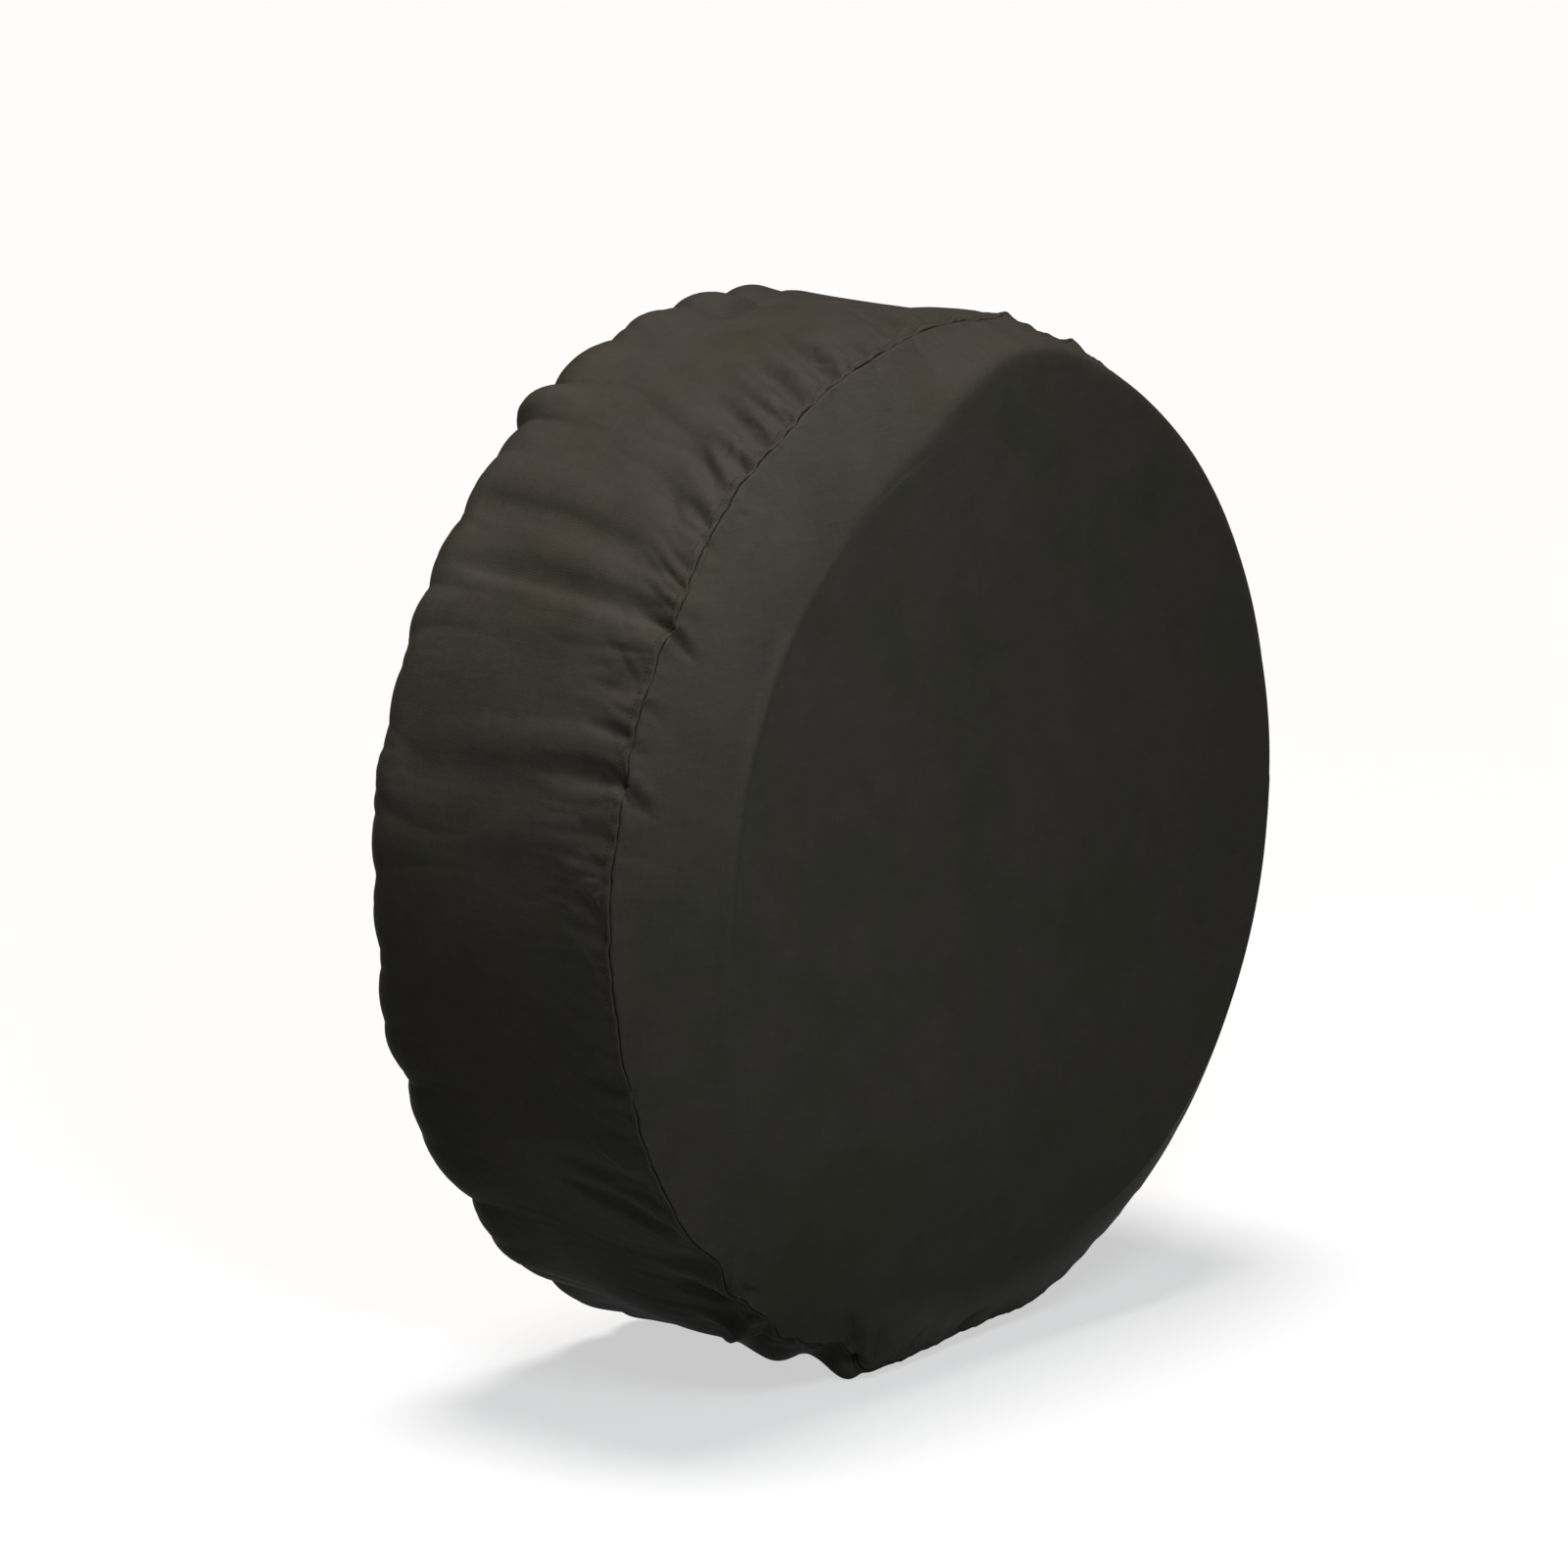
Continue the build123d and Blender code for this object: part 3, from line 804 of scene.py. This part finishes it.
STITCH_RADIUS = 0.3
STITCH_SHARE = 0.86  # of the pitch, the rest is the gap at the needle hole
STITCH_T = np.array([0.0, 0.1, 0.3, 0.5, 0.7, 0.9, 1.0])
STITCH_SINK = np.array([0.55, 0.12, 0.0, -0.04, 0.0, 0.12, 0.55])
STITCH_GIRTH = np.array([0.7, 0.95, 1.0, 1.0, 1.0, 0.95, 0.7])


def stitch_row(name, phi_a, phi_b, s_a, s_b, depth, outward=1.0):
    """Separate stitches lying on the cloth, each from one needle hole to the next."""
    t = STITCH_T[None, :]
    phi = phi_a[:, None] * (1 - t) + phi_b[:, None] * t
    s = s_a[:, None] * (1 - t) + s_b[:, None] * t
    points, n = on_band(phi, s, depth + outward * (STITCH_SINK[None, :] - 0.6 * STITCH_RADIUS))
    return tubes(name, points, n * outward, STITCH_GIRTH * STITCH_RADIUS)


def ring_stitches(name, s, depth, radius, pitch, outward=1.0):
    """A row of slanting stitches all round, each a little out of line."""
    count = int(TAU * radius / pitch)
    g = np.random.default_rng(len(name) * 7)
    step = TAU / count
    start = np.arange(count) * step + g.uniform(-0.03, 0.03, count) * step
    line = s + 0.12 * g.standard_normal(count)
    slant = 0.12
    return stitch_row(name, start, start + step * STITCH_SHARE, line - slant, line + slant, depth, outward)


def cross_stitches(name, insets, s_from, s_to, depth, pitch, outward=1.0):
    """Stitch rows across the band, beside its lap at the bottom."""
    starts = np.arange(s_from, s_to - pitch, pitch)
    phi = np.repeat([math.pi - inset / RADIUS for inset in insets], len(starts))
    low = np.tile(starts, len(insets))
    return stitch_row(name, phi, phi, low, low + pitch * STITCH_SHARE, depth, outward)


def overlock(name, period=3.0, steps=8):
    """One looped thread round both raw edges, from the face's allowance to the band's and back."""
    count = int(TAU * 402.0 / period)
    t = np.arange(count * steps) / steps
    cycle = np.mod(t, 1.0)
    runs = np.interp(cycle, [0, 0.42, 0.5, 0.92, 1.0], [10.2, LIP + 0.2, LIP + 0.5, 10.2, 10.2])
    low, high = 4.35, 1.65  # how deep the thread runs under both allowances, and over them
    depth = np.interp(cycle, [0, 0.42, 0.5, 0.58, 0.92, 1.0], [low, low, 3.0, high, high, low])
    points, n = (np.append(a, a[:1], 0)[None] for a in on_band(t / count * TAU, runs, depth))
    return tubes(name, points, n, np.full(points.shape[1], 0.17), 5)


def bars(name, runs, width, count, reach, depth):
    """Bar tacks at the bottom: close zigzags across a place where the cloth has to hold."""
    k = np.arange(count)
    phi = math.pi + (k / (count - 1) - 0.5) * width / RADIUS
    zigzag = reach * np.where(k % 2, 0.5, -0.5)
    points, n = on_band(phi, np.array(runs)[:, None] + zigzag, depth)
    return tubes(name, points, n, np.full(count, 0.26))


# ---- materials
def set_inputs(shader, values):
    for key, value in values.items():
        shader.inputs[key].default_value = value


class Cloth:
    """A woven material whose threads follow the cloth's own flat coordinates."""

    def __init__(self, name, colour, roughness, sheen, specular):
        self.material = bpy.data.materials.new(name)
        self.material.use_nodes = True
        self.tree = self.material.node_tree
        self.shader = self.tree.nodes["Principled BSDF"]
        values = {"Roughness": roughness, "Specular IOR Level": specular, "Sheen Weight": sheen}
        values.update({"Sheen Roughness": 0.45, "Sheen Tint": (0.9, 0.86, 0.8, 1)})
        set_inputs(self.shader, values)
        self.colour = colour
        self.uv = self.add("ShaderNodeUVMap", "UV", {}, uv_map="cloth")
        self.place = self.add("ShaderNodeTexCoord", "Object", {})

    def add(self, kind, output, inputs, **settings):
        """Adds a node with its inputs set or linked, and gives one of its outputs."""
        made = self.tree.nodes.new(kind)
        for key, value in settings.items():
            setattr(made, key, value)
        for key, value in inputs.items():
            if isinstance(value, bpy.types.NodeSocket):
                self.tree.links.new(value, made.inputs[key])
            else:
                made.inputs[key].default_value = value
        return made.outputs[output]

    def math(self, operation, *terms):
        return self.add("ShaderNodeMath", 0, dict(enumerate(terms)), operation=operation)

    def product(self, *terms):
        total = terms[0]
        for term in terms[1:]:
            total = self.math("MULTIPLY", total, term)
        return total

    def part(self, vector, axis):
        return self.add("ShaderNodeSeparateXYZ", axis, {0: vector})

    def scaled(self, vector, x, y, z=1.0):
        return self.add("ShaderNodeMapping", "Vector", {"Vector": vector, "Scale": (x, y, z)})

    def noise(self, vector, scale, detail, roughness=0.55, distortion=0.0):
        inputs = {"Vector": vector, "Scale": scale, "Detail": detail}
        inputs.update(Roughness=roughness, Distortion=distortion)
        return self.add("ShaderNodeTexNoise", "Fac", inputs)

    def weave(self, pitch):
        """Over and under threads of a plain weave, 0 to 1, at a pitch in metres."""
        u, v = (self.math("MULTIPLY", self.part(self.uv, axis), math.pi / pitch) for axis in "XY")
        warp, weft = (self.math("ABSOLUTE", self.math("SINE", a)) for a in (u, v))
        over = self.product(*(self.math("SINE", self.math("ADD", a, math.pi / 2)) for a in (u, v)))
        pick = self.math("MULTIPLY_ADD", over, 0.5, 0.5)
        below = self.math("MULTIPLY", weft, self.math("SUBTRACT", 1.0, pick))
        return self.math("MULTIPLY_ADD", warp, pick, below)

    def ramp(self, value, stops):
        made = self.tree.nodes.new("ShaderNodeValToRGB")
        while len(made.color_ramp.elements) < len(stops):
            made.color_ramp.elements.new(0.5)
        for element, (place, shade) in zip(made.color_ramp.elements, stops):
            element.position = place
            element.color = (*shade, 1)
        self.tree.links.new(value, made.inputs["Fac"])
        return made.outputs["Color"]

    def blended(self, colour, other):
        """The product of two colours."""
        return self.add("ShaderNodeVectorMath", "Vector", {0: colour, 1: other}, operation="MULTIPLY")

    def tinted(self, colour, factor):
        inputs = {0: colour, "Scale": factor}
        return self.add("ShaderNodeVectorMath", "Vector", inputs, operation="SCALE")

    def rising(self, value, start, end):
        """Goes from 0 where the value is start to 1 where it is end."""
        inputs = {"Value": value, "From Min": start, "From Max": end}
        return self.add("ShaderNodeMapRange", "Result", inputs, interpolation_type="SMOOTHSTEP")

    def bump(self, height, distance, strength, normal=None):
        inputs = {"Height": height, "Distance": distance, "Strength": strength}
        if normal is not None:
            inputs["Normal"] = normal
        return self.add("ShaderNodeBump", "Normal", inputs)

    def finish(self, colour, normal, roughness=None):
        found = {"Base Color": colour, "Normal": normal, "Roughness": roughness}
        for key, value in found.items():
            if value is not None:
                self.tree.links.new(value, self.shader.inputs[key])
        return self.material


def shades(colour, *factors):
    return [tuple(c * f for c in colour) for f in factors]


def cover_cloth():
    c = Cloth("cover_cloth", (0.0080, 0.0078, 0.0064), 0.66, 0, 0.02)
    weave = c.weave(0.0011)
    slub = c.math("ADD", *(c.noise(c.scaled(c.uv, *size), 1, 2) for size in ((520, 45), (50, 480))))
    mottle = c.noise(c.uv, 26, 5, 0.6)
    broad = c.noise(c.place, 5.5, 3, 0.5)
    fine = c.noise(c.uv, 420, 2, 0.6)
    tone = c.math("MULTIPLY", mottle, 0.5)
    for layer, weight in ((slub, 0.30), (fine, 0.22), (weave, 0.10), (broad, 0.22)):
        tone = c.math("MULTIPLY_ADD", layer, weight, tone)
    dark, low, high, light = shades(c.colour, 0.72, 0.9, 1.12, 1.4)
    colour = c.ramp(tone, [(0.35, dark), (0.55, low), (0.72, high), (0.95, light)])
    # Patches that lean towards grey, and patches that keep the olive of the dye.
    patches = c.noise(c.place, 7.5, 4, 0.6, 0.4)
    stops = [(0.38, (0.94, 0.97, 0.90)), (0.50, (1, 1, 1.04)), (0.62, (1.03, 1.03, 1.14))]
    colour = c.blended(colour, c.ramp(patches, stops))
    # Painted light and shade: the colour is lighter towards the top and the left, where the light falls,
    # and darker at the low rear part, as painted shade.
    x, y, z = (c.part(c.place, axis) for axis in "XYZ")
    across = c.math("MULTIPLY_ADD", x, -0.3, 1)
    painted_top_light = c.math("MULTIPLY_ADD", z, 0.5, 1)
    colour = c.tinted(colour, c.math("MULTIPLY", across, painted_top_light))
    # Painted shade: the colour gets darker towards the low rear part.
    behind = c.math("MULTIPLY_ADD", y, -1.6, -0.12)
    colour = c.tinted(colour, c.math("MULTIPLY_ADD", c.rising(z, 0.13, -0.2), behind, 1))
    # Painted light: the face's rim is paler at the lower right, as if lit from the floor below.
    squared_radius = c.math("MULTIPLY_ADD", z, z, c.math("POWER", x, 2))
    painted_floor_light = c.product(
        c.rising(squared_radius, 0.116, 0.146),
        c.rising(y, -0.094, -0.112),
        c.rising(z, -0.12, -0.30),
        c.rising(x, -0.15, -0.03),
        c.math("ADD", mottle, 0.3),
    )
    colour = c.tinted(colour, c.math("MULTIPLY_ADD", painted_floor_light, 0.95, 1))
    threads = c.math("MULTIPLY_ADD", slub, 0.35, c.math("MULTIPLY", weave, 0.6))
    normal = c.bump(c.noise(c.uv, 95, 3, 0.6), 0.0012, 0.45, c.bump(threads, 0.0004, 0.7))
    return c.finish(colour, normal, c.math("MULTIPLY_ADD", mottle, 0.16, 0.54))


def cloth_inside():
    c = Cloth("cover_cloth_coating", (0.016, 0.0155, 0.015), 0.5, 0.03, 0.2)
    mottle = c.noise(c.uv, 30, 5, 0.65)
    creases = c.noise(c.uv, 70, 4, 0.7, 1.2)
    dark, mid, light = shades(c.colour, 0.75, 1, 1.35)
    colour = c.ramp(mottle, [(0.3, dark), (0.5, mid), (0.75, light)])
    normal = c.bump(creases, 0.0010, 0.4, c.bump(c.weave(0.0011), 0.0003, 0.4))
    return c.finish(colour, normal, c.math("MULTIPLY_ADD", creases, 0.25, 0.36))


def casing_tape():
    c = Cloth("casing_tape", (0.014, 0.0136, 0.0132), 0.7, 0.03, 0.12)
    weave = c.weave(0.0009)
    rib = c.noise(c.scaled(c.uv, 1400, 60), 1, 2)
    mottle = c.noise(c.uv, 60, 4, 0.6)
    dark, mid, light = shades(c.colour, 0.7, 1, 1.5)
    tone = c.math("ADD", c.math("MULTIPLY", mottle, 0.6), c.math("MULTIPLY", weave, 0.4))
    colour = c.ramp(tone, [(0.25, dark), (0.5, mid), (0.8, light)])
    return c.finish(colour, c.bump(c.math("ADD", weave, rib), 0.0004, 0.8))


def elastic():
    c = Cloth("elastic", (0.018, 0.018, 0.018), 0.6, 0.02, 0.12)
    rib = c.noise(c.scaled(c.uv, 40, 1600), 1, 2)
    dark, light = shades(c.colour, 0.7, 1.3)
    return c.finish(c.ramp(rib, [(0.35, dark), (0.7, light)]), c.bump(rib, 0.0004, 0.8))


def thread():
    c = Cloth("sewing_thread", (0.0072, 0.0070, 0.0062), 0.5, 0, 0.1)
    twist = c.noise(c.scaled(c.place, 2600, 2600, 2600), 1, 2)
    dark, light = shades(c.colour, 0.7, 1.5)
    return c.finish(c.ramp(twist, [(0.3, dark), (0.7, light)]), c.bump(twist, 0.00012, 0.6))


# ---- pieces
CLOTH_MAT, INSIDE_MAT, TAPE_MAT = cover_cloth(), cloth_inside(), casing_tape()
ELASTIC_MAT, THREAD_MAT = elastic(), thread()


def settle(piece, cad_node):
    """A piece rides the cover's one body and stands in for one of its CAD solids."""
    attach(piece, "root")
    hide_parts(cad_node)
    return piece


face = settle(build_face([CLOTH_MAT, INSIDE_MAT]), "face_panel")
band = settle(build_band([CLOTH_MAT, INSIDE_MAT]), "side_band")
casing = settle(build_casing([TAPE_MAT, TAPE_MAT]), "hem_casing")
strip = settle(build_elastic([ELASTIC_MAT, ELASTIC_MAT]), "hem_elastic")

INSIDE_LIP = LIP_DEPTH + CLOTH
SIDES = (("needle", 1.0), ("bobbin", -1.0))


def sew(row, run, depths, radius, pitch):
    """A ring of stitches as its needle thread outside and its bobbin thread inside."""
    for (side, outward), depth in zip(SIDES, depths):
        stitches = ring_stitches(f"{row}_{side}_stitches", run, depth, radius, pitch, outward)
        settle(stitches, f"{row}_{side}_thread")


sew("topstitch", TOPSTITCH_RUN, (0.0, INSIDE_LIP), RADIUS, 3.2)
sew("face_seam", 3.0, (1.45, INSIDE_LIP), RADIUS, 3.0)
settle(overlock("overlock_stitches"), "face_seam_overlock")
for row, inset in (("outer", 2.5), ("inner", 7.0)):
    sew(f"hem_{row}_row", run_at(CASING_OUTER - inset), (-1.35, 2.35), CASING_OUTER, 3.0)
for (side, outward), depth in zip(SIDES, (0.0, 1.9)):
    name = f"band_join_{side}"
    stitches = cross_stitches(name + "_stitches", (3.0, 10.0), 21.5, run_at(330.0), depth, 3.2, outward)
    settle(stitches, name + "_threads")
tacks = bars("bar_tack_stitches", [17.4, run_at(328.0)], 12.0, 29, 2.0, -0.22)
settle(tacks, "bar_tacks")
zigzag = bars("elastic_join_stitches", [run_at(307.0)], 9.0, 17, 15.0, -0.3)
settle(zigzag, "elastic_join_thread")


# ---- stage, lights, camera
def build_floor():
    lowest = min(v.co.z for piece in (face, band) for v in piece.data.vertices)
    bpy.ops.mesh.primitive_plane_add(size=60, location=(0, 0, lowest - 0.0005))
    floor = bpy.context.object
    floor.name = "studio_floor"
    material = bpy.data.materials.new("studio_floor")
    material.use_nodes = True
    values = {"Base Color": (0.098, 0.110, 0.120, 1), "Roughness": 0.9, "Specular IOR Level": 0.1}
    values.update({"Emission Color": (1, 1, 1, 1), "Emission Strength": 0.58})
    set_inputs(material.node_tree.nodes["Principled BSDF"], values)
    floor.data.materials.append(material)


def add_light(name, kind, direction, distance, energy, colour, **settings):
    """A light some way off in a direction, aimed at the middle of the cover."""
    data = bpy.data.lights.new(name, kind)
    data.energy, data.color = energy, colour
    for key, value in settings.items():
        setattr(data, key, value)
    lamp = add_object(name, data)
    lamp.location = Vector(direction).normalized() * distance
    lamp.rotation_euler = (-lamp.location).to_track_quat("-Z", "Y").to_euler()


def build_camera():
    azimuth, elevation, roll = (math.radians(a) for a in (-51.1, 12.54, -0.14))
    level = math.cos(elevation)
    back = Vector((math.sin(azimuth) * level, -math.cos(azimuth) * level, math.sin(elevation)))
    right = (-back).cross(Vector((0, 0, 1))).normalized()
    up = right.cross(-back)
    side = math.cos(roll) * right + math.sin(roll) * up
    over = -math.sin(roll) * right + math.cos(roll) * up
    data = bpy.data.cameras.new("camera")
    data.lens = 155.7
    data.sensor_width = 36
    data.shift_x, data.shift_y = -0.0482, 0.0257
    data.clip_end = 100
    camera = add_object("camera", data)
    turn = Matrix((side, over, back)).transposed().to_4x4()
    camera.matrix_world = Matrix.Translation(back * 5.304) @ turn
    bpy.context.scene.camera = camera


def build_light():
    # A far, wide, soft light, so that the floor is lit evenly to its edges, and two near ones that fade.
    add_light("key", "SUN", (0.03, 0.08, 0.98), 1.0, 12.6, (1, 0.86, 0.78), angle=math.radians(24))
    near = {"shape": "DISK", "size": 0.6}
    add_light("front_left", "AREA", (-0.84, -1.04, 0.9), 1.9, 52, (1.0, 0.97, 0.94), **near)
    near["size"] = 0.4
    add_light("front_low", "AREA", (-0.12, -1.0, -0.28), 1.3, 6.6, (0.94, 1.0, 0.92), **near)
    world = bpy.data.worlds.new("studio")
    world.use_nodes = True
    set_inputs(world.node_tree.nodes["Background"], {"Color": (0.9, 0.98, 1, 1), "Strength": 0.08})
    bpy.context.scene.world = world
    bpy.context.scene.view_settings.view_transform = "Standard"


build_floor()
build_light()
build_camera()
